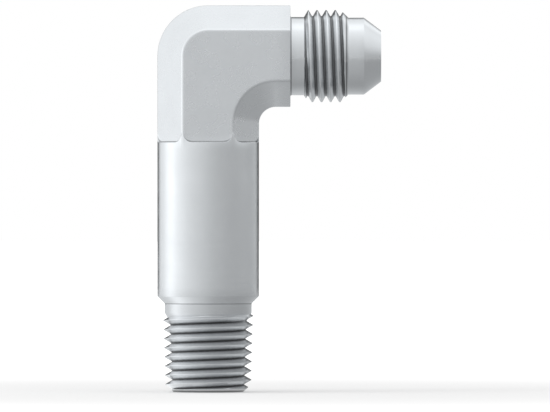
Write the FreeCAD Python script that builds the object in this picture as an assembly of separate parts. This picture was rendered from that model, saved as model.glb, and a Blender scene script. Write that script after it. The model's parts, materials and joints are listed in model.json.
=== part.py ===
import FreeCAD, Part
import math
import os

from FreeCAD import Vector

# Extra long 90 degree elbow adapter for hydraulic tube, one forged, turned and drilled piece of steel.
# One leg ends in a male 37 degree flare, the other is a long round stem with a male taper pipe thread.
# Frame: the origin is where the axes of the two bores cross. The flare leg runs out along +X and the
# stem down along -Z. The elbow is symmetric about the XZ plane. All sizes are in millimetres.

# Wrench block, a hexagon that runs round the corner with two of its flats at +Y and -Y
ACROSS_FLATS = 13.7
CORNER_BREAK = 0.06  # how far the stem's circle rounds off the hexagon's sharp corners
INNER_BEND_RADIUS = 2.6
SHOULDER_REACH = 12.7  # from the crossing to the square shoulder behind the flare thread
FLATS_REACH = 13.34  # from the crossing down to the ledges where the flats end
FLATS_END_RADIUS = 1.55  # rounded lower corners of each flat

# Flare end for 3/8 inch tube, with a 9/16-18 straight thread that is modelled as its plain crest cylinder
FLARE_REACH = 26.7
FLARE_THREAD_DIAMETER = 14.29
FLARE_THREAD_LENGTH = 6.85  # with both of its end chamfers
FLARE_RELIEF_DEPTH = 1.11  # relief neck below the crests
FLARE_RELIEF_LENGTH = 2.1
FLARE_RELIEF_ANGLE = 60.0  # thread end at the neck, measured from the axis
FLARE_LEAD_ANGLE = 45.0  # thread end at the nose, measured from the axis
NOSE_DROP = 1.21  # plain nose below the crests
CONE_ANGLE = 37.0  # flare seat, measured from the axis
NOSE_LIP = 0.15  # flat ring left between the bore and the cone
FLARE_BORE_DIAMETER = 7.6

# Stem, as thick as the hexagon is over its rounded corners
STEM_REACH = 37.1

# Pipe end, a 1/4-18 taper thread that is modelled as its plain crest cone
PIPE_REACH = 51.9
THREADS_PER_INCH = 18.0
PIPE_PITCH_DIAMETER = 12.126  # at the end face
PIPE_TAPER = 1.0 / 16.0  # on the diameter
PIPE_THREAD_LENGTH = 12.26
PIPE_NECK_DROP = 0.29  # neck below the last crest
PIPE_NECK_ANGLE = 45.0  # both sides of the neck, measured from the axis
PIPE_LEAD_ANGLE = 50.0  # thread end at the end face, measured from the axis
PIPE_LEAD_DROP = 0.17  # the end face's rim below the thread's root
PIPE_BORE_DIAMETER = 7.14
PIPE_MOUTH_WIDTH = 0.65  # countersink of the bore's mouth, across and along the axis
PIPE_MOUTH_DEPTH = 0.5

# Drills, whose points stay in the steel where the two bores meet
DRILL_POINT_ANGLE = 118.0
DRILL_TIP_GAP = 0.4  # how far a drill's tip stops short of the other bore's far wall
DRILL_OVERRUN = 1.0  # how far a drill's body stands out of the end face

# Worked out from the sizes above
apothem = ACROSS_FLATS / 2
stem_radius = apothem / math.cos(math.radians(30)) - CORNER_BREAK
flat_half_width = math.sqrt(stem_radius**2 - apothem**2)
stem_top = -(FLATS_REACH - FLATS_END_RADIUS)
inner_bend_centre = stem_radius + INNER_BEND_RADIUS
flare_bore_radius = FLARE_BORE_DIAMETER / 2
pipe_bore_radius = PIPE_BORE_DIAMETER / 2
pipe_thread_depth = 0.8 * 25.4 / THREADS_PER_INCH
ALONG_FLARE_LEG = Vector(1, 0, 0)
DOWN_STEM = Vector(0, 0, -1)
ACROSS = Vector(0, 1, 0)
CROSSING = Vector(0, 0, 0)


def run(drop, angle):
    """Length along the axis of a cone that changes the radius by drop at an angle from the axis."""
    return drop / math.tan(math.radians(angle))


def wrench_hexagon():
    """Hexagon in the XY plane with flats at +Y and -Y, its corners rounded off by the stem's circle."""
    corner_radius = apothem / math.cos(math.radians(30))
    corners = [
        Vector(corner_radius * math.cos(turn), corner_radius * math.sin(turn), 0)
        for turn in (math.radians(60 * corner) for corner in range(7))
    ]
    hexagon = Part.Face(Part.makePolygon(corners))
    circle = Part.Face(Part.Wire(Part.makeCircle(stem_radius)))
    return hexagon.common(circle).Faces[0]


def outer_half(section):
    """The half of the hexagon that faces away from the inside of the bend, at -X."""
    side = 2 * stem_radius
    window = Part.makePlane(side / 2, side, Vector(-side / 2, -side / 2, 0))
    return section.common(window).Faces[0]


def wrench_block():
    """Both straight legs of the hexagon and the bend between them.

    Outside, the hexagon turns about the crossing itself. Inside, it turns about a point beyond the
    inner corner, which leaves a rounded inner corner that runs smoothly into both legs.
    """
    section = wrench_hexagon()
    upright = section.extrude(Vector(0, 0, stem_top))
    lying = section.copy()
    lying.rotate(CROSSING, ACROSS, 90)
    lying = lying.extrude(ALONG_FLARE_LEG * SHOULDER_REACH)
    outside = outer_half(section).revolve(CROSSING, ACROSS, 90)
    inside_axis = Vector(inner_bend_centre, 0, -inner_bend_centre)
    inside = section.copy()
    inside.translate(Vector(0, 0, -inner_bend_centre))
    inside = inside.revolve(inside_axis, ACROSS, 90)
    return upright.multiFuse([lying, outside, inside])


def flat_cutter(turn):
    """Space over the lower end of one flat, open outwards, with its two lower corners rounded."""
    bottom = -FLATS_REACH
    width = 2 * flat_half_width
    box = Part.makeBox(
        stem_radius, width, 2 * FLATS_END_RADIUS, Vector(apothem, -flat_half_width, bottom)
    )
    lower_corners = [
        edge
        for edge in box.Edges
        if edge.BoundBox.YLength < 1e-6 and edge.BoundBox.ZMax < bottom + 1e-6
    ]
    cutter = box.makeFillet(FLATS_END_RADIUS, lower_corners)
    cutter.rotate(CROSSING, DOWN_STEM, turn)
    return cutter


def turned(points, axis):
    """Solid of revolution from (place along the axis, radius) points, closed along the axis."""
    outline = [(points[0][0], 0), *points, (points[-1][0], 0)]
    square = Vector(0, 0, 1) if axis == ALONG_FLARE_LEG else Vector(1, 0, 0)
    corners = [axis * place + square * radius for place, radius in outline]
    face = Part.Face(Part.makePolygon([*corners, corners[0]]))
    return face.revolve(CROSSING, axis, 360)


def stem():
    """Round stem with the neck and the taper thread's crest cone, and the lower ends of the flats."""
    end_crest = (PIPE_PITCH_DIAMETER + pipe_thread_depth) / 2
    slope = PIPE_TAPER / 2
    neck_end = PIPE_REACH - PIPE_THREAD_LENGTH
    last_crest = end_crest + slope * PIPE_THREAD_LENGTH
    neck_radius = last_crest - PIPE_NECK_DROP
    end_radius = end_crest - pipe_thread_depth - PIPE_LEAD_DROP
    neck_slope = math.tan(math.radians(PIPE_NECK_ANGLE))
    lead_slope = math.tan(math.radians(PIPE_LEAD_ANGLE))
    rise = PIPE_NECK_DROP / (neck_slope + slope)
    lead = (end_crest - end_radius) / (lead_slope - slope)
    body = turned(
        [
            (-stem_top, stem_radius),
            (STEM_REACH, stem_radius),
            (STEM_REACH + run(stem_radius - neck_radius, PIPE_NECK_ANGLE), neck_radius),
            (neck_end, neck_radius),
            (neck_end + rise, last_crest - slope * rise),
            (PIPE_REACH - lead, end_crest + slope * lead),
            (PIPE_REACH, end_radius),
        ],
        DOWN_STEM,
    )
    return body.cut([flat_cutter(30 + 60 * flat) for flat in range(6)])


def flare_end():
    """Relief neck, crest cylinder of the thread, plain nose and 37 degree seat."""
    crest = FLARE_THREAD_DIAMETER / 2
    neck_radius = crest - FLARE_RELIEF_DEPTH
    nose_radius = crest - NOSE_DROP
    lip_radius = flare_bore_radius + NOSE_LIP
    thread_start = SHOULDER_REACH + FLARE_RELIEF_LENGTH
    thread_end = thread_start + FLARE_THREAD_LENGTH
    return turned(
        [
            (SHOULDER_REACH, neck_radius),
            (thread_start, neck_radius),
            (thread_start + run(FLARE_RELIEF_DEPTH, FLARE_RELIEF_ANGLE), crest),
            (thread_end - run(NOSE_DROP, FLARE_LEAD_ANGLE), crest),
            (thread_end, nose_radius),
            (FLARE_REACH - run(nose_radius - lip_radius, CONE_ANGLE), nose_radius),
            (FLARE_REACH, lip_radius),
        ],
        ALONG_FLARE_LEG,
    )


def drill(radius, leg, reach, far_wall):
    """Drill along one leg, whose point ends just short of the far wall of the other bore."""
    point_length = run(radius, DRILL_POINT_ANGLE / 2)
    point_start = far_wall - DRILL_TIP_GAP - point_length
    base = leg * -point_start
    body = Part.makeCylinder(radius, point_start + reach + DRILL_OVERRUN, base, leg)
    return body.fuse(Part.makeCone(radius, 0, point_length, base, leg * -1))


def pipe_mouth():
    """Countersink at the mouth of the stem's bore."""
    wide = pipe_bore_radius + PIPE_MOUTH_WIDTH
    return Part.makeCone(wide, pipe_bore_radius, PIPE_MOUTH_DEPTH, DOWN_STEM * PIPE_REACH, DOWN_STEM * -1)


def elbow_body():
    """The whole elbow: block, stem and flare end as one solid, then both bores."""
    solid = wrench_block().multiFuse([stem(), flare_end()]).removeSplitter()
    bores = [
        drill(flare_bore_radius, ALONG_FLARE_LEG, FLARE_REACH, pipe_bore_radius),
        drill(pipe_bore_radius, DOWN_STEM, PIPE_REACH, flare_bore_radius),
        pipe_mouth(),
    ]
    return solid.cut(bores)


os.makedirs("parts", exist_ok=True)
body = elbow_body()
body.exportStep("parts/elbow_body.step")
print("elbow_body", len(body.Solids), "solid, valid", body.isValid(), "volume", round(body.Volume, 1))
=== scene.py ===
import json
import math

import bmesh
import bpy
import numpy as np
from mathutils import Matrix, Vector


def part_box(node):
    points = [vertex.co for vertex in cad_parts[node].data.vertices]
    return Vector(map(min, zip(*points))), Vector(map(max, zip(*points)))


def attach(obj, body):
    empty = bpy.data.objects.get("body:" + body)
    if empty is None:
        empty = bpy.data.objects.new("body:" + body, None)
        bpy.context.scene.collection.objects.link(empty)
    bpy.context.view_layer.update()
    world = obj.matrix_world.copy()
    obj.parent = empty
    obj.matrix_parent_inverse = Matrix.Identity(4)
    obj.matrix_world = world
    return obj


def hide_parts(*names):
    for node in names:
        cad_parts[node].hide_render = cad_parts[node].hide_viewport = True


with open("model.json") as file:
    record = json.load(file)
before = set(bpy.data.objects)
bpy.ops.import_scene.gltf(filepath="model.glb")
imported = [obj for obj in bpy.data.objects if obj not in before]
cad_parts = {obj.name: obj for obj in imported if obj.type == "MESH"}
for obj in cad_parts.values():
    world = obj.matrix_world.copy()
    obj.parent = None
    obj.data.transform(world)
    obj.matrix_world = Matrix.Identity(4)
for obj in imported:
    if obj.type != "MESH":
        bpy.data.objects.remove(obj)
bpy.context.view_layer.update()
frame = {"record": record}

# Steel elbow adapter: one skin that runs from the pipe end up the stem, round the hexagon's corner and
# out to the flare nose, with both threads cut into it as helices, and the two drilled bores.
# All lengths below are in millimetres and become metres when a mesh is made.
MM = 0.001

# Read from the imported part
part_low, part_high = (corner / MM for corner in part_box("elbow_body"))
mounts = {mount["name"]: mount for mount in frame["record"]["mounts"]}
PIPE_REACH = -part_low.z
FLARE_REACH = part_high.x
FLARE_BORE = mounts["flare_bore"]["dims"]["r_mm"]
PIPE_BORE = mounts["pipe_bore"]["dims"]["r_mm"]
FLARE_BORE_INNER_END = FLARE_REACH - mounts["flare_bore"]["dims"]["length_mm"]
PITCH = 25.4 / 18

# Skin: kept a hair inside the solid, so that no facet stands out of it
SKIN_GAP = 0.012
STEM_RADIUS = part_high.z - SKIN_GAP
APOTHEM = abs(mounts["front_wrench_flat"]["pos_m"][1]) / MM
SIXTH = math.radians(60)  # of a turn, from one of the hexagon's corners to the next
SHARP_CORNER = APOTHEM / math.cos(SIXTH / 2)
EDGE_RADIUS = (SHARP_CORNER - STEM_RADIUS) / (1 / math.cos(SIXTH / 2) - 1)
EDGE_CENTRE = STEM_RADIUS - EDGE_RADIUS
TANGENT_OFFSET = (APOTHEM - EDGE_RADIUS) * math.tan(SIXTH / 2)
EDGE_TURN = SIXTH / 2 - math.atan(TANGENT_OFFSET / APOTHEM)
BREAK = 0.12  # rounding of outer edges
LEDGE_BREAK = 0.06  # the same on the ledges at the flats' lower ends
FOOT = 0.2  # fillet at the foot of a step
LARGEST_SHARE = 0.45  # of a stretch, which the rounding of one of its ends may take up

# Wrench block
INNER_BEND_RADIUS = 2.6
BEND_CENTRE = part_high.z + INNER_BEND_RADIUS
SHOULDER_REACH = 12.7
FLATS_REACH = 13.34
FLATS_END_RADIUS = 1.55
FLAT_HALF_WIDTH = math.sqrt(part_high.z**2 - APOTHEM**2)  # where a flat meets the stem's circle
STEM_TOP = -FLATS_REACH - 1  # height at which the plain stem's rows hand over to the ledges' rows

# Flare end
FLARE_CREST = mounts["flare_thread"]["dims"]["r_mm"] - SKIN_GAP
FLARE_NECK = 6.035
FLARE_NECK_END = 14.8
FLARE_RELIEF_ANGLE = 60.0
FLARE_THREAD_END = 21.65
NOSE_RADIUS = 5.935
NOSE_LIP = 0.15
CONE_ANGLE = 37.0

# Pipe end
STEM_REACH = 37.1
PIPE_NECK = 6.721
PIPE_NECK_END = 39.64
PIPE_END_CREST = 6.6275 - SKIN_GAP
PIPE_SLOPE = 1 / 32
PIPE_END_RIM = 5.33
PIPE_LEAD_ANGLE = 50.0
PIPE_RIM_HEIGHT = 0.06  # from the end face to where the thread's rows start
PIPE_MOUTH = 4.22
PIPE_MOUTH_DEPTH = 0.5

# Drills
DRILL_HALF_ANGLE = 59.0
DRILL_TIP = 0.02  # radius at which the drill's point ends
DRILL_OVERRUN = 0.5  # how far a drill stands out of the end face
NOSE_BORE_BREAK = 0.05

# Threads: depth, half width of the crest, rounding of the crest and the root, where a crest crosses the
# side that faces out of the bend, and how far the painted shade in the groove reaches up from its root
FLARE_THREAD = {"depth": 0.95, "crest": 0.08, "soft": 0.035, "first_crest": 15.39, "film": 0.26}
PIPE_THREAD = {"depth": 1.15, "crest": 0.03, "soft": 0.022, "first_crest": -50.71, "film": 0.34}
FLANK_ANGLE = math.radians(60)  # of a thread's flanks, from the axis
RUN_OUT = 1.5  # length over which the pipe thread's root climbs to the neck
THREAD_BREAK = 0.06  # rounding where a thread's grooves meet the chamfers at its ends

# Skin's columns and rows
FACET_STEPS = 26
EDGE_STEPS = 6
CLUSTERING = 0.35  # how much closer a facet's columns lie near its edges
FLANK_STEPS = 7
ARC_STEPS = 4
RIM_STEPS = 3
LONGEST_ROW = 1.5
BEND_STRAIGHT = 0.22  # share of the bend's rows on each side of where the outer side turns
STRAIGHT_ROWS = 7
TURN_ROWS = 33
MERGE_DISTANCE = 0.002
SHARP_ANGLE = 35.0  # above which an edge isn't shaded smooth

# Where materials change
# INSIDE_CORNER is a darker plate that paints shade into the fillets of inside corners
FORGED, TURNED_STEM, TURNED_FLARE, DRILLED, INSIDE_CORNER = range(5)


def column_angles():
    """Angles from the outer side of the bend towards the viewer, closest at the hexagon's edges."""
    angles = []
    for corner in range(6):
        middle = SIXTH * corner
        for step in range(EDGE_STEPS):
            tilt = SIXTH * (step / EDGE_STEPS - 0.5)
            across = EDGE_RADIUS * math.sin(tilt)
            out = EDGE_CENTRE + EDGE_RADIUS * math.cos(tilt)
            angles.append(middle + math.atan2(across, out))
        span = SIXTH - 2 * EDGE_TURN
        for step in range(FACET_STEPS):
            share = step / FACET_STEPS
            share -= CLUSTERING * math.sin(2 * math.pi * share) / (2 * math.pi)
            angles.append(middle + EDGE_TURN + span * share)
    return np.array(sorted(angle % (2 * math.pi) for angle in angles))


ANGLES = column_angles()
COUNT = len(ANGLES)
COS = np.cos(ANGLES)
SIN = np.sin(ANGLES)
TURN = np.abs((ANGLES + SIXTH / 2) % SIXTH - SIXTH / 2)  # from the nearest corner of the hexagon


def hexagon_radius():
    """Distance from the axis to the rounded hexagon, for each column."""
    flat = APOTHEM / np.cos(SIXTH / 2 - TURN)
    inside = np.clip(EDGE_RADIUS**2 - (EDGE_CENTRE * np.sin(TURN)) ** 2, 0, None)
    edge = EDGE_CENTRE * np.cos(TURN) + np.sqrt(inside)
    return np.where(TURN < EDGE_TURN, edge, flat)


HEXAGON = hexagon_radius()
OUT = HEXAGON * COS  # towards the outside of the bend
SIDE = -HEXAGON * SIN  # along Y


def stem_ring(height, radius):
    """Points round the stem's axis, from the outer side towards the viewer."""
    return np.stack([-radius * COS, -radius * SIN, height * np.ones(COUNT)], axis=-1)


def flare_ring(place, radius):
    """Points round the flare leg's axis, from the top towards the viewer."""
    return np.stack([place * np.ones(COUNT), -radius * SIN, radius * COS], axis=-1)


def bend_ring(share):
    """The hexagon part of the way round the bend, share running from 0 at the stem to 1."""
    turn = np.clip((share - BEND_STRAIGHT) / (1 - 2 * BEND_STRAIGHT), 0, 1) * math.pi / 2
    before = min(share / BEND_STRAIGHT, 1) * BEND_CENTRE - BEND_CENTRE
    after = max((share - 1 + BEND_STRAIGHT) / BEND_STRAIGHT, 0) * BEND_CENTRE

    def outer(out):
        return -out * math.cos(turn) + after, out * math.sin(turn) + before

    def inner(out):
        swing = BEND_CENTRE + out
        angle = share * math.pi / 2
        return BEND_CENTRE - swing * math.cos(angle), swing * math.sin(angle) - BEND_CENTRE

    outer_x, outer_z = outer(np.maximum(OUT, TANGENT_OFFSET))
    inner_x, inner_z = inner(np.minimum(OUT, -TANGENT_OFFSET))
    mix = np.clip((OUT + TANGENT_OFFSET) / (2 * TANGENT_OFFSET), 0, 1)
    return np.stack(
        [inner_x + (outer_x - inner_x) * mix, SIDE, inner_z + (outer_z - inner_z) * mix], axis=-1
    )


def bend_shares():
    """Places of the bend's rows, closest where the outer side turns."""
    leg = np.linspace(0, BEND_STRAIGHT, STRAIGHT_ROWS)
    turn = np.linspace(BEND_STRAIGHT, 1 - BEND_STRAIGHT, TURN_ROWS)
    return [*leg[:-1], *turn, *(1 - leg[::-1])[1:]]


def quarter(steps):
    """Sine and cosine of even steps from 0 to 90 degrees."""
    turns = [math.pi / 2 * step / steps for step in range(steps + 1)]
    return [(math.sin(turn), math.cos(turn)) for turn in turns]


def rounded(points, radius):
    """The points of a (place, radius) outline with every corner between its ends rounded."""
    outline = [points[0]]
    for before, corner, after in zip(points, points[1:], points[2:]):
        a, b, c = Vector(before), Vector(corner), Vector(after)
        to_a, to_c = (a - b).normalized(), (c - b).normalized()
        half = to_a.angle(to_c) / 2
        shorter = min((a - b).length, (c - b).length)
        reach = min(radius / math.tan(half), LARGEST_SHARE * shorter)
        bow = reach * math.tan(half)
        centre = b + (to_a + to_c).normalized() * (bow / math.sin(half))
        first, last = b + to_a * reach - centre, b + to_c * reach - centre
        for step in range(ARC_STEPS + 1):
            outline.append(tuple(centre + first.slerp(last, step / ARC_STEPS) * bow))
    return [*outline, points[-1]]


def lofted(outline, ring):
    """Rings along a (place, radius) outline, with more where a stretch is long."""
    rows = []
    for (place, radius), (next_place, next_radius) in zip(outline, outline[1:]):
        parts = max(1, math.ceil(abs(next_place - place) / LONGEST_ROW))
        for part in range(parts):
            share = part / parts
            row_radius = radius + (next_radius - radius) * share
            rows.append(ring(place + (next_place - place) * share, row_radius))
    rows.append(ring(*outline[-1]))
    return rows


def thread_outline(depth, crest, soft, **_):
    """Drop below the crest against place, from one crest's middle to the next root's middle."""
    half = PITCH / 2
    root = half - crest - depth / math.tan(FLANK_ANGLE)
    ease = min(soft, root)
    return [
        (0, 0),
        (crest - soft, 0),
        (crest + soft / 2, soft * math.sin(FLANK_ANGLE)),
        (half - root - ease / 2, depth - ease * math.sin(FLANK_ANGLE)),
        (half - root + ease, depth),
        (half, depth),
    ]


def thread_rows(thread):
    """Places of a thread's rows within one pitch, with each flank divided into short steps."""
    places = [place for place, _ in thread_outline(**thread)]
    start, end = places[2], places[3]
    flank = [start + (end - start) * step / FLANK_STEPS for step in range(1, FLANK_STEPS)]
    half = sorted({*places, *flank})
    mirrored = [PITCH - place for place in half[1:-1]]
    return np.array(sorted([*half, *mirrored]))


def thread_drop(thread, phase):
    """Drop below the crest at a phase in millimetres from the nearest crest."""
    places, drops = zip(*thread_outline(**thread))
    fold = np.abs((phase + PITCH / 2) % PITCH - PITCH / 2)
    return np.interp(fold, places, drops)


def softened(first, second):
    """The smaller of two radii, eased where they cross."""
    near = np.clip(1 - np.abs(first - second) / THREAD_BREAK, 0, None)
    return np.minimum(first, second) - near**2 * THREAD_BREAK / 4


def threaded(thread, start, end, blank, crest_line, floor_line, ring):
    """Grid of rows that follow a right-hand helix between two places of a turned blank.

    Returns the points and the four corners of each face. Rows are clipped at both ends, where the
    blank is no wider than the thread's root, so the grid meets the plain rings there.
    """
    steps = thread_rows(thread)
    per_turn = len(steps)
    lead = PITCH * ANGLES / (2 * math.pi)
    crest = thread["first_crest"]
    first_turn = math.floor((start - crest) / PITCH) - 2
    last_turn = math.ceil((end - crest) / PITCH) + 1
    grid = []
    places = []
    for turn in range(first_turn, last_turn + 1):
        for step in steps:
            place = np.clip(crest + turn * PITCH + step + lead, start, end)
            cut = crest_line(place) - thread_drop(thread, place - crest - lead)
            floor = np.minimum(blank(place), floor_line(place))
            radius = np.maximum(softened(blank(place), cut), floor)
            grid.append(ring(place, radius))
            places.append(place)
    places = np.array(places)
    rows = len(grid)
    corners = []
    for row in range(rows - 1):
        for column in range(COUNT):
            wraps = column == COUNT - 1
            beside = row + per_turn if wraps else row
            if beside + 1 >= rows:
                continue
            here, there = column, 0 if wraps else column + 1
            quad = [(row, here), (beside, there), (beside + 1, there), (row + 1, here)]
            spots = [places[r, c] for r, c in quad]
            if max(spots) > start and min(spots) < end:
                corners.append([r * COUNT + c for r, c in quad])
    return np.concatenate(grid), corners


class Skin:
    """Points and faces of the elbow's outside, gathered zone by zone."""

    def __init__(self):
        self.points = []
        self.faces = []
        self.materials = []

    def add_points(self, points):
        first = len(self.points)
        self.points.extend(points.tolist())
        return first

    def add_rows(self, rows, material):
        """Bands between neighbouring rings."""
        first = self.add_points(np.concatenate(rows))
        for row in range(len(rows) - 1):
            low = first + row * COUNT
            high = low + COUNT
            for column in range(COUNT):
                after = (column + 1) % COUNT
                self.faces.append([low + column, low + after, high + after, high + column])
                self.materials.append(material)

    def add_grid(self, points, corners, material):
        first = self.add_points(points)
        for quad in corners:
            self.faces.append([first + corner for corner in quad])
            self.materials.append(material)

    def add_cap(self, ring, material):
        first = self.add_points(ring)
        self.faces.append(list(range(first, first + COUNT)))
        self.materials.append(material)


def pipe_blank_points():
    """Outline of the stem's lower end before threading: height and radius, from the end face up."""
    neck_end = -PIPE_NECK_END
    rim = PIPE_END_RIM
    lead_slope = math.tan(math.radians(PIPE_LEAD_ANGLE))
    lead = (PIPE_END_CREST - rim) / (lead_slope - PIPE_SLOPE)
    last_crest = PIPE_END_CREST + PIPE_SLOPE * (PIPE_REACH - PIPE_NECK_END)
    rise = (last_crest - PIPE_NECK) / (1 + PIPE_SLOPE)
    return [
        (-PIPE_REACH, rim),
        (-PIPE_REACH + lead, PIPE_END_CREST + PIPE_SLOPE * lead),
        (neck_end - rise, last_crest - PIPE_SLOPE * rise),
        (neck_end, PIPE_NECK),
        (-STEM_REACH - (STEM_RADIUS - PIPE_NECK), PIPE_NECK),
        (-STEM_REACH, STEM_RADIUS),
    ]


def flare_blank_points():
    """Outline of the flare leg before threading: place and radius, from the shoulder out."""
    lip = FLARE_BORE + NOSE_LIP
    cone = (NOSE_RADIUS - lip) / math.tan(math.radians(CONE_ANGLE))
    entry = (FLARE_CREST - FLARE_NECK) / math.tan(math.radians(FLARE_RELIEF_ANGLE))
    return [
        (SHOULDER_REACH, FLARE_NECK),
        (FLARE_NECK_END, FLARE_NECK),
        (FLARE_NECK_END + entry, FLARE_CREST),
        (FLARE_THREAD_END - (FLARE_CREST - NOSE_RADIUS), FLARE_CREST),
        (FLARE_THREAD_END, NOSE_RADIUS),
        (FLARE_REACH - SKIN_GAP - cone, NOSE_RADIUS),
        (FLARE_REACH - SKIN_GAP, lip),
    ]


def blank_line(points):
    """Radius of an outline as a function of place."""
    places, radii = zip(*points)
    return lambda place: np.interp(place, places, radii)


def add_pipe_end(skin):
    """End face, taper thread, neck and the chamfer up to the stem."""
    points = pipe_blank_points()
    start = points[0][0] + PIPE_RIM_HEIGHT
    end = points[3][0]
    blank = blank_line(points)
    face_rim = (-PIPE_REACH, PIPE_END_RIM - BREAK / 2)
    skin.add_cap(stem_ring(*face_rim), TURNED_STEM)
    rim = rounded([face_rim, points[0], (start, blank(start))], BREAK / 2)
    skin.add_rows(lofted(rim, stem_ring), TURNED_STEM)

    def crest_line(place):
        return PIPE_END_CREST + PIPE_SLOPE * (place + PIPE_REACH)

    def floor_line(place):
        root = crest_line(place) - PIPE_THREAD["depth"]
        climb = (place - (points[3][0] - RUN_OUT)) / RUN_OUT
        return root + np.clip(climb, 0, 1) * (PIPE_NECK - root)

    grid, corners = threaded(PIPE_THREAD, start, end, blank, crest_line, floor_line, stem_ring)
    skin.add_grid(grid, corners, TURNED_STEM)
    neck = rounded([(end, PIPE_NECK), points[4], points[5], (STEM_TOP, STEM_RADIUS)], FOOT)
    skin.add_rows(lofted(neck[:2], stem_ring), TURNED_STEM)
    # The fillet where the pipe neck meets the chamfer gets the darker plate: painted shade in the inside
    # corner
    skin.add_rows(lofted(neck[1 : 2 + ARC_STEPS], stem_ring), INSIDE_CORNER)
    skin.add_rows(lofted(neck[1 + ARC_STEPS :], stem_ring), TURNED_STEM)


def ledge_height():
    """Height of the flats' lower ends for each column: level, with rounded corners at the edges."""
    across = APOTHEM * np.tan(SIXTH / 2 - TURN)
    corner_start = FLAT_HALF_WIDTH - FLATS_END_RADIUS
    beyond = np.clip(across - corner_start, 0, FLATS_END_RADIUS)
    rise = FLATS_END_RADIUS - np.sqrt(FLATS_END_RADIUS**2 - beyond**2)
    return rise - FLATS_REACH


def add_block(skin):
    """From the top of the stem over the ledges, round the bend and out to the shoulder."""
    ledge = ledge_height()
    width = STEM_RADIUS - HEXAGON
    rim = np.minimum(LEDGE_BREAK, LARGEST_SHARE * width)
    foot = np.minimum(FOOT, LARGEST_SHARE * width)
    rows = [stem_ring(STEM_TOP, STEM_RADIUS)]
    rows += [
        stem_ring(ledge - rim + rim * sine, STEM_RADIUS - rim + rim * cosine)
        for sine, cosine in quarter(RIM_STEPS)
    ]
    skin.add_rows(rows, TURNED_STEM)
    foot_rows = [
        stem_ring(ledge + foot - foot * cosine, HEXAGON + foot - foot * sine)
        for sine, cosine in quarter(ARC_STEPS)
    ]
    skin.add_rows([rows[-1], foot_rows[0]], FORGED)
    # The fillets at the foot of the ledges get the darker plate: painted shade in the inside corner
    skin.add_rows(foot_rows, INSIDE_CORNER)
    rows = [foot_rows[-1]]
    foot_top = ledge + foot
    for share in (0.33, 0.67):
        rows.append(stem_ring(foot_top + (-BEND_CENTRE - foot_top) * share, HEXAGON))
    rows += [bend_ring(share) for share in bend_shares()]
    rows += [
        flare_ring(SHOULDER_REACH - BREAK + BREAK * sine, HEXAGON - BREAK + BREAK * cosine)
        for sine, cosine in quarter(RIM_STEPS)
    ]
    skin.add_rows(rows, FORGED)
    rows = [rows[-1]]
    face_rim = HEXAGON - BREAK
    neck_foot = FLARE_NECK + FOOT
    for share in (0.5, 1.0):
        rows.append(flare_ring(SHOULDER_REACH, face_rim + (neck_foot - face_rim) * share))
    skin.add_rows(rows, TURNED_FLARE)
    foot_rows = [
        flare_ring(SHOULDER_REACH + FOOT - FOOT * cosine, FLARE_NECK + FOOT - FOOT * sine)
        for sine, cosine in quarter(ARC_STEPS)
    ]
    # The fillet where the shoulder meets the relief neck gets the darker plate: painted shade in the
    # inside corner
    skin.add_rows(foot_rows, INSIDE_CORNER)


def add_flare_end(skin):
    """Relief neck, straight thread, nose and flare seat."""
    points = flare_blank_points()
    start = FLARE_NECK_END
    end = FLARE_THREAD_END
    neck = [(SHOULDER_REACH + FOOT, FLARE_NECK), (start, FLARE_NECK)]
    skin.add_rows(lofted(neck, flare_ring), TURNED_FLARE)
    grid, corners = threaded(
        FLARE_THREAD,
        start,
        end,
        blank_line(points),
        lambda place: FLARE_CREST,
        lambda place: 0,
        flare_ring,
    )
    skin.add_grid(grid, corners, TURNED_FLARE)
    nose = rounded([(end, NOSE_RADIUS), points[5], points[6]], BREAK)
    skin.add_rows(lofted(nose, flare_ring), TURNED_FLARE)
    skin.add_cap(flare_ring(*points[6]), TURNED_FLARE)


def as_object(name, points, faces, materials):
    """Mesh object from points in millimetres, with doubles merged and normals outwards."""
    mesh = bpy.data.meshes.new(name)
    mesh.from_pydata([tuple(MM * value for value in point) for point in points], [], faces)
    mesh.polygons.foreach_set("material_index", materials)
    work = bmesh.new()
    work.from_mesh(mesh)
    bmesh.ops.remove_doubles(work, verts=work.verts, dist=MERGE_DISTANCE * MM)
    bmesh.ops.recalc_face_normals(work, faces=work.faces)
    work.to_mesh(mesh)
    work.free()
    piece = bpy.data.objects.new(name, mesh)
    bpy.context.scene.collection.objects.link(piece)
    return piece


def revolved(name, outline, ring, material):
    """Closed solid of revolution from (place, radius) points that start and end near the axis."""
    solid = Skin()
    solid.add_cap(ring(*outline[0]), material)
    solid.add_rows([ring(*point) for point in outline], material)
    solid.add_cap(ring(*outline[-1]), material)
    return as_object(name, solid.points, solid.faces, solid.materials)


def bore_outlines():
    """Outlines of the two drills, each from its point out past its leg's end face."""
    slope = math.tan(math.radians(DRILL_HALF_ANGLE))
    flare_start = FLARE_BORE_INNER_END
    pipe_start = -PIPE_REACH + mounts["pipe_bore"]["dims"]["length_mm"] + PIPE_MOUTH_DEPTH
    face = FLARE_REACH - SKIN_GAP
    mouth_slope = (PIPE_MOUTH - PIPE_BORE) / PIPE_MOUTH_DEPTH
    flare = [
        (flare_start - (FLARE_BORE - DRILL_TIP) / slope, DRILL_TIP),
        (flare_start, FLARE_BORE),
        (face - NOSE_BORE_BREAK, FLARE_BORE),
        (face + DRILL_OVERRUN, FLARE_BORE + NOSE_BORE_BREAK + DRILL_OVERRUN),
    ]
    pipe = [
        (pipe_start + (PIPE_BORE - DRILL_TIP) / slope, DRILL_TIP),
        (pipe_start, PIPE_BORE),
        (-PIPE_REACH + PIPE_MOUTH_DEPTH, PIPE_BORE),
        (-PIPE_REACH, PIPE_MOUTH),
        (-PIPE_REACH - DRILL_OVERRUN, PIPE_MOUTH + DRILL_OVERRUN * mouth_slope),
    ]
    return flare, pipe


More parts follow.
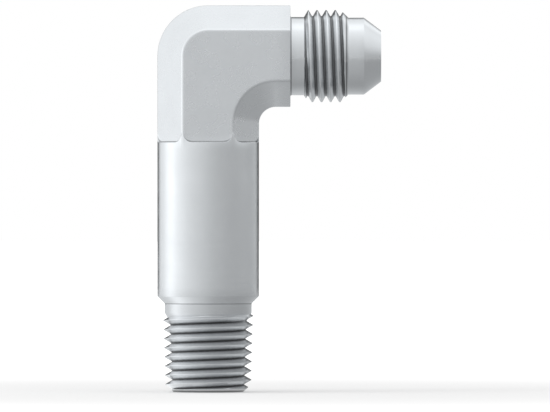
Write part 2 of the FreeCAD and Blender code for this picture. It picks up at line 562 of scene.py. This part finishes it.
def cut(piece, tool):
    """Takes the tool's space out of the piece."""
    modifier = piece.modifiers.new("bore", "BOOLEAN")
    modifier.operation = "DIFFERENCE"
    modifier.solver = "MANIFOLD"
    modifier.object = tool
    depsgraph = bpy.context.evaluated_depsgraph_get()
    result = bpy.data.meshes.new_from_object(piece.evaluated_get(depsgraph))
    piece.modifiers.clear()
    piece.data = result
    bpy.data.objects.remove(tool)


def make_elbow():
    """The whole adapter as one closed mesh."""
    skin = Skin()
    add_pipe_end(skin)
    add_block(skin)
    add_flare_end(skin)
    piece = as_object("elbow_skin", skin.points, skin.faces, skin.materials)
    materials = steels()
    flare, pipe = bore_outlines()
    tools = [
        revolved("flare_drill", flare, flare_ring, DRILLED),
        revolved("pipe_drill", pipe, stem_ring, DRILLED),
    ]
    for thing in (piece, *tools):
        for material in materials:
            thing.data.materials.append(material)
    for tool in tools:
        cut(piece, tool)
    piece.data.polygons.foreach_set("use_smooth", [True] * len(piece.data.polygons))
    piece.data.set_sharp_from_angle(angle=math.radians(SHARP_ANGLE))
    return piece


class Shader:
    """Small helper that adds and joins nodes in one material."""

    def __init__(self, name):
        self.material = bpy.data.materials.new(name)
        self.material.use_nodes = True
        self.tree = self.material.node_tree
        self.surface = self.tree.nodes["Principled BSDF"]
        self.place = self.add("ShaderNodeTexCoord").outputs["Object"]

    def add(self, kind, links=None, **settings):
        """A node with its settings, and inputs that are either linked or set to a value."""
        node = self.tree.nodes.new(kind)
        for key, value in settings.items():
            setattr(node, key, value)
        for key, value in (links or {}).items():
            self.feed(node.inputs[key], value)
        return node

    def feed(self, socket, value):
        if isinstance(value, bpy.types.NodeSocket):
            self.tree.links.new(value, socket)
        else:
            socket.default_value = value

    def set(self, name, value):
        """Links or sets one input of the surface."""
        self.feed(self.surface.inputs[name], value)

    def noise(self, size, detail):
        """Noise whose grain is about size millimetres."""
        links = {"Vector": self.place, "Scale": 1.0 / (size * MM), "Detail": detail}
        return self.add("ShaderNodeTexNoise", links).outputs["Fac"]

    def split(self, vector):
        """The x, y and z of a vector."""
        return self.add("ShaderNodeSeparateXYZ", {"Vector": vector}).outputs

    def math(self, operation, first, second=0.0):
        """Result of one arithmetic step."""
        return self.add("ShaderNodeMath", {0: first, 1: second}, operation=operation).outputs[0]

    def vector(self, operation, first, second=(0, 0, 0)):
        """Outputs of one step of vector arithmetic."""
        return self.add("ShaderNodeVectorMath", {0: first, 1: second}, operation=operation).outputs

    def span(self, value, low, high, at_low=0.0, at_high=1.0, curve="LINEAR"):
        """Goes from at_low to at_high while the value goes from low to high, and is level beyond."""
        links = {"Value": value, "From Min": low, "From Max": high, "To Min": at_low, "To Max": at_high}
        return self.add("ShaderNodeMapRange", links, interpolation_type=curve).outputs["Result"]

    def drift(self, size, low, high):
        """Slow noise that stays between two values."""
        return self.span(self.noise(size, detail=2.0), *NOISE_RANGE, low, high)

    def bump(self, height, depth, below=None):
        """Bump of about depth millimetres, over an earlier one."""
        links = {"Height": height, "Strength": 1.0, "Distance": depth * MM}
        if below is not None:
            links["Normal"] = below
        return self.add("ShaderNodeBump", links).outputs["Normal"]


# Steel finishes: colours, ranges of roughness, and bumps as size of grain, detail of the noise and depth
PLATE = (0.8, 0.808, 0.818)
DRILLED_PLATE = (0.62, 0.63, 0.64)
# Darker plate for the fillets of inside corners: painted shade
CORNER_PAINTED_SHADE = (0.42, 0.425, 0.43)
FORGED_ROUGHNESS = (0.24, 0.32)
TURNED_ROUGHNESS = (0.2, 0.27)
CORNER_ROUGHNESS = (0.36, 0.48)
DRILLED_ROUGHNESS = (0.42, 0.55)
FORGED_BUMPS = [(2.6, 0.0, 0.014), (0.9, 0.0, 0.004)]  # slow waviness and fine grain
CORNER_BUMPS = [(0.4, 3.0, 0.003)]
DRILLED_BUMPS = [(0.25, 3.0, 0.006)]
FEED_MARKS = [(0.9, 0.0045), (0.24, 0.002)]  # spacing and depth of what the lathe left
DRILLED_METALLIC = 0.6
CLOUD_SIZE = 4.0  # patches of another brightness
CLOUDING = 0.97  # brightness of the plate's duller patches
SMEAR_SIZE = 2.5  # patches of another roughness
NOISE_RANGE = (0.3, 0.7)  # between which nearly all of a noise lies
ROOT_SHADE = 0.75  # how much darker the painted shade makes the bottom of a thread's groove
PAINTED_SHADE_FULL = 0.15  # height above the root up to which the painted shade is full, as a share of its reach
PAINTED_SHADE_FADES = 0.03  # depth below the root from which there is less painted shade
PAINTED_SHADE_GONE = 0.08  # depth below the root from which there is none


def plated(name, color, roughness, bumps=(), shade=None):
    """Bright plated steel, whose brightness and roughness drift within a range."""
    shader = Shader(name)
    shader.set("Metallic", 1.0)
    level = shader.drift(CLOUD_SIZE, CLOUDING, 1.0)
    if shade is not None:
        level = shader.math("MULTIPLY", level, shade(shader))
    tint = shader.add("ShaderNodeVectorMath", {0: color, "Scale": level}, operation="SCALE")
    shader.set("Base Color", tint.outputs[0])
    shader.set("Roughness", shader.drift(SMEAR_SIZE, *roughness))
    normal = None
    for size, detail, depth in bumps:
        normal = shader.bump(shader.noise(size, detail), depth, below=normal)
    if normal is not None:
        shader.set("Normal", normal)
    return shader


def groove_shade(axis, thread, crest, slope):
    """Makes the node chain that paints shade into a thread's roots, darkening the base colour at the
    bottom of the grooves.

    The crests lie on the line crest + slope * place. What lies deeper than the roots is not darkened.
    """
    across = [1.0, 1.0, 1.0]
    across[axis] = 0.0
    root = thread["depth"]
    reach = thread["film"]

    def chain(shader):
        radius = shader.vector("LENGTH", shader.vector("MULTIPLY", shader.place, across)[0])["Value"]
        place = shader.split(shader.place)[axis]
        line = shader.math("ADD", shader.math("MULTIPLY", place, slope), crest * MM)
        drop = shader.math("SUBTRACT", line, radius)
        above = shader.span(drop, (root - reach) * MM, (root - PAINTED_SHADE_FULL * reach) * MM)
        below = shader.span(drop, (root + PAINTED_SHADE_GONE) * MM, (root + PAINTED_SHADE_FADES) * MM)
        film = shader.math("MULTIPLY", above, below)
        return shader.math("SUBTRACT", 1.0, shader.math("MULTIPLY", film, ROOT_SHADE))

    return chain


def turned_steel(name, axis, *thread):
    """Lathe-turned steel: feed marks in rings round one axis, some deeper than others."""
    # The threads' roots get painted shade in their base colour from groove_shade
    shader = plated(name, PLATE, TURNED_ROUGHNESS, shade=groove_shade(axis, *thread))
    place = shader.split(shader.place)[axis]
    marks = None
    for spacing, depth in FEED_MARKS:
        along = shader.math("MULTIPLY", place, 1.0 / (spacing * MM))
        links = {"W": along, "Scale": 1.0, "Detail": 1.0}
        rings = shader.add("ShaderNodeTexNoise", links, noise_dimensions="1D").outputs["Fac"]
        marks = shader.bump(rings, depth, below=marks)
    shader.set("Normal", marks)
    return shader


def steels():
    """The elbow's materials, in the order of their slots."""
    pipe_crest = PIPE_END_CREST + PIPE_SLOPE * PIPE_REACH  # the crests' line at the bores' crossing
    forged = plated("forged_plate", PLATE, FORGED_ROUGHNESS, FORGED_BUMPS)
    stem = turned_steel("turned_stem", 2, PIPE_THREAD, pipe_crest, PIPE_SLOPE)
    flare = turned_steel("turned_flare", 0, FLARE_THREAD, FLARE_CREST, 0.0)
    drilled = plated("drilled_plate", DRILLED_PLATE, DRILLED_ROUGHNESS, DRILLED_BUMPS)
    drilled.set("Metallic", DRILLED_METALLIC)
    # Darker plate that paints shade into the fillets of inside corners
    corner = plated("corner_film", CORNER_PAINTED_SHADE, CORNER_ROUGHNESS, CORNER_BUMPS)
    return [shader.material for shader in (forged, stem, flare, drilled, corner)]


# Studio
MIDDLE = Vector((8, 0, -22))  # what the boxes and the tent are set up round
WHITE = (1, 1, 1, 1)
FILL_STRENGTH = 0.6  # of the world where it only lights
FLOOR_COLOR = (0.85, 0.85, 0.85, 1.0)
FLOOR_ROUGHNESS = 0.9
FLOOR_REACH = 6000
FLOOR_FADE = (60, 260)  # distances from the bores' crossing over which the floor turns white
FLOOR_GLOW = (0.22, 0.8)  # what its direct view adds at those distances

# Soft boxes for the floor: azimuth, elevation, distance, size and brightness
SOFT_BOXES = {
    "left_box": (-70, 25, 600, (300, 400), 1.2),
    "top_box": (0, 80, 650, (600, 400), 1.2),
}

# Light tent: brightness of its wall by azimuth, of its top, and of the mat as a share of the wall's
TENT_RADIUS = 600
TENT_COLOR = (0.96, 0.99, 1.01, 1.0)
TENT_FULL = 1.5  # brightness that a full stop of the wall's ramp stands for
TENT_PLAIN = 1.05  # what is brighter than this stays low on the wall
TENT_STRIP_FADE = (0.5, 0.12)  # rise of a direction at which the brighter strip is gone, and is full
TENT_ROOF = 1.2
TENT_CLIMB = 1.3  # how late on its way up the wall turns into the roof
TENT_WALL = [
    (-180, 0.84),
    (-122, 0.98),
    (-96, 1.4),
    (-74, 1.17),
    (-51, 0.95),
    (0, 0.66),
    (40, 0.52),
    (105, 0.48),
    (150, 0.64),
    (180, 0.84),
]
MAT_SHARE = 0.82
MAT_RADIUS = 540
MAT_HEIGHT = 0.5  # above the floor

# Round patches of the tent: azimuth, elevation, angles to its rim and to its core, and the value outside
# the rim and inside the core
DARK_SPOT = (180, 0, 43, 22, 1.0, 0.1)  # right behind the elbow, which draws its outline
SIDE_WINDOW = (88, 38, 42, 10, 0.0, 0.28)  # lights the flare seat
BACK_WINDOW = (152, 30, 24, 6, 0.0, 0.4)  # lights the upper edge of the seat
ROOF_WINDOW = (180, 82, 20, 4, 0.0, 0.14)  # lights the top of the nose and of the relief neck


def towards(azimuth, elevation):
    """Unit vector out from the elbow: azimuth 0 is the viewer's side, 90 the right."""
    turn, rise = math.radians(azimuth), math.radians(elevation)
    level = math.cos(rise)
    return Vector((level * math.sin(turn), -level * math.cos(turn), math.sin(rise)))


def soft_box(name, azimuth, elevation, distance, size, brightness):
    """Area light for the floor, whose face is brightness times as bright as plain white."""
    data = bpy.data.lights.new(name, "AREA")
    data.shape = "RECTANGLE"
    data.size, data.size_y = (MM * side for side in size)
    data.energy = brightness * math.pi * data.size * data.size_y
    thing = bpy.data.objects.new(name, data)
    bpy.context.scene.collection.objects.link(thing)
    out = towards(azimuth, elevation)
    thing.location = (MIDDLE + out * distance) * MM
    thing.rotation_mode = "QUATERNION"
    thing.rotation_quaternion = (-out).to_track_quat("-Z", "Y")
    thing.visible_glossy = False


def wall_level(shader, x, y):
    """Brightness of the tent's wall in the direction of a place that lies x and y from its middle."""
    azimuth = shader.math("ARCTAN2", x, shader.math("MULTIPLY", y, -1.0))
    ramp = shader.add("ShaderNodeValToRGB", {"Fac": shader.span(azimuth, -math.pi, math.pi)})
    ramp.color_ramp.interpolation = "CARDINAL"
    stops = ramp.color_ramp.elements
    stops.remove(stops[-1])
    for index, (degrees, level) in enumerate(TENT_WALL):
        stop = stops[0] if index == 0 else stops.new(1.0)
        stop.position = (degrees + 180) / 360
        stop.color = (level / TENT_FULL,) * 3 + (1.0,)
    return shader.math("MULTIPLY", ramp.outputs["Color"], TENT_FULL)


def tent_patch(shader, out, patch):
    """A value over the tent that changes smoothly inside a round patch."""
    azimuth, elevation, rim, core, outside, inside = patch
    near = shader.vector("DOT_PRODUCT", out, towards(azimuth, elevation))["Value"]
    at_rim, at_core = (math.cos(math.radians(angle)) for angle in (rim, core))
    return shader.span(near, at_rim, at_core, outside, inside, curve="SMOOTHSTEP")


def add_glowing(shader, level, middle, make, **sizes):
    """A simple mesh with a plain cool white glow, which only the metal's reflections show."""
    light = shader.add("ShaderNodeEmission", {"Color": TENT_COLOR, "Strength": level})
    shader.tree.links.new(light.outputs[0], shader.tree.nodes["Material Output"].inputs["Surface"])
    shader.tree.nodes.remove(shader.surface)
    shader.material.cycles.emission_sampling = "NONE"
    name = shader.material.name
    mesh = bpy.data.meshes.new(name)
    work = bmesh.new()
    make(work, **sizes)
    work.to_mesh(mesh)
    work.free()
    mesh.materials.append(shader.material)
    thing = bpy.data.objects.new(name, mesh)
    thing.location = middle * MM
    thing.visible_camera = False
    thing.visible_diffuse = False
    thing.visible_shadow = False
    thing.visible_transmission = False
    bpy.context.scene.collection.objects.link(thing)


def make_tent():
    """Light tent, bright at the left and above, grey at the front and darker at the right."""
    shader = Shader("tent")
    out = shader.vector("NORMALIZE", shader.place)[0]
    x, y, z = shader.split(out)
    share = shader.span(shader.math("ARCSINE", z), 0, math.pi / 2)
    climb = shader.math("POWER", share, TENT_CLIMB)
    wall = wall_level(shader, x, y)
    plain = shader.math("MINIMUM", wall, TENT_PLAIN)
    strip = shader.math("SUBTRACT", wall, plain)
    strip = shader.math("MULTIPLY", strip, shader.span(z, *TENT_STRIP_FADE))
    wall = shader.math("ADD", plain, strip)
    lit = shader.add("ShaderNodeMix", {"Factor": climb, "A": wall, "B": TENT_ROOF}, data_type="FLOAT")
    level = shader.math("MULTIPLY", lit.outputs["Result"], tent_patch(shader, out, DARK_SPOT))
    for window in (SIDE_WINDOW, BACK_WINDOW, ROOF_WINDOW):
        level = shader.math("ADD", level, tent_patch(shader, out, window))
    sphere = bmesh.ops.create_uvsphere
    add_glowing(shader, level, MIDDLE, sphere, u_segments=48, v_segments=24, radius=TENT_RADIUS * MM)


def make_mat():
    """Mat over the floor, so that the metal's underside reflects a dimmer tent and no white floor."""
    shader = Shader("mat")
    x, y, _ = shader.split(shader.place)
    level = shader.math("MULTIPLY", wall_level(shader, x, y), MAT_SHARE)
    middle = Vector((0, 0, MAT_HEIGHT - PIPE_REACH))
    disc = bmesh.ops.create_circle
    add_glowing(shader, level, middle, disc, cap_ends=True, segments=48, radius=MAT_RADIUS * MM)


def seen_directly(tree):
    """1 for rays that show a background: from the camera, or off metal or through glass."""
    rays = tree.nodes.new("ShaderNodeLightPath")
    seen = rays.outputs["Is Camera Ray"]
    for kind in ("Is Glossy Ray", "Is Transmission Ray"):
        either = tree.nodes.new("ShaderNodeMath")
        either.operation = "MAXIMUM"
        tree.links.new(seen, either.inputs[0])
        tree.links.new(rays.outputs[kind], either.inputs[1])
        seen = either.outputs[0]
    return seen


def make_world():
    """White where it is seen, a softer fill where it only lights."""
    world = bpy.data.worlds.new("studio")
    bpy.context.scene.world = world
    world.use_nodes = True
    world.cycles.sampling_method = "NONE"
    tree = world.node_tree
    fill = tree.nodes["Background"]
    seen = tree.nodes.new("ShaderNodeBackground")
    mix = tree.nodes.new("ShaderNodeMixShader")
    tree.links.new(seen_directly(tree), mix.inputs["Fac"])
    for light, strength, slot in ((fill, FILL_STRENGTH, 1), (seen, 1.0, 2)):
        light.inputs["Color"].default_value = WHITE
        light.inputs["Strength"].default_value = strength
        tree.links.new(light.outputs[0], mix.inputs[slot])
    tree.links.new(mix.outputs[0], tree.nodes["World Output"].inputs["Surface"])


def make_floor():
    """Pale floor under the pipe end, which turns white away from the elbow and its shadow."""
    shader = Shader("floor")
    shader.set("Base Color", FLOOR_COLOR)
    shader.set("Roughness", FLOOR_ROUGHNESS)
    shader.set("Specular IOR Level", 0.0)
    shader.set("Emission Color", WHITE)
    distance = shader.vector("LENGTH", shader.place)["Value"]
    near, far = (reach * MM for reach in FLOOR_FADE)
    glow = shader.span(distance, near, far, *FLOOR_GLOW, curve="SMOOTHSTEP")
    shader.set("Emission Strength", shader.math("MULTIPLY", seen_directly(shader.tree), glow))
    mesh = bpy.data.meshes.new("floor")
    side = FLOOR_REACH * MM
    height = -PIPE_REACH * MM
    corners = [(x * side, y * side, height) for x, y in ((-1, -1), (1, -1), (1, 1), (-1, 1))]
    mesh.from_pydata(corners, [], [(0, 1, 2, 3)])
    mesh.materials.append(shader.material)
    thing = bpy.data.objects.new("floor", mesh)
    bpy.context.scene.collection.objects.link(thing)


def make_camera():
    """Level view square to the elbow's plane, at the drawing's scale and place in its frame."""
    picture_width, picture_height = 550, 412
    crossing = (208.2, 56.17)
    scale = 0.1545
    lens = 600.0
    data = bpy.data.cameras.new("camera")
    data.lens = lens
    data.sensor_width = 36.0
    camera = bpy.data.objects.new("camera", data)
    bpy.context.scene.collection.objects.link(camera)
    right = (picture_width / 2 - crossing[0]) * scale
    up = (crossing[1] - picture_height / 2) * scale
    distance = picture_width * scale * lens / data.sensor_width
    camera.location = Vector((right, -distance, up)) * MM
    camera.rotation_euler = (math.radians(90), 0, 0)
    data.clip_end = 10.0
    bpy.context.scene.camera = camera


bpy.context.scene.view_settings.view_transform = "Standard"
make_camera()
make_world()
for box_name, settings in SOFT_BOXES.items():
    soft_box(box_name, *settings)
make_tent()
make_mat()
make_floor()

elbow = make_elbow()
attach(elbow, "root")
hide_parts("elbow_body")
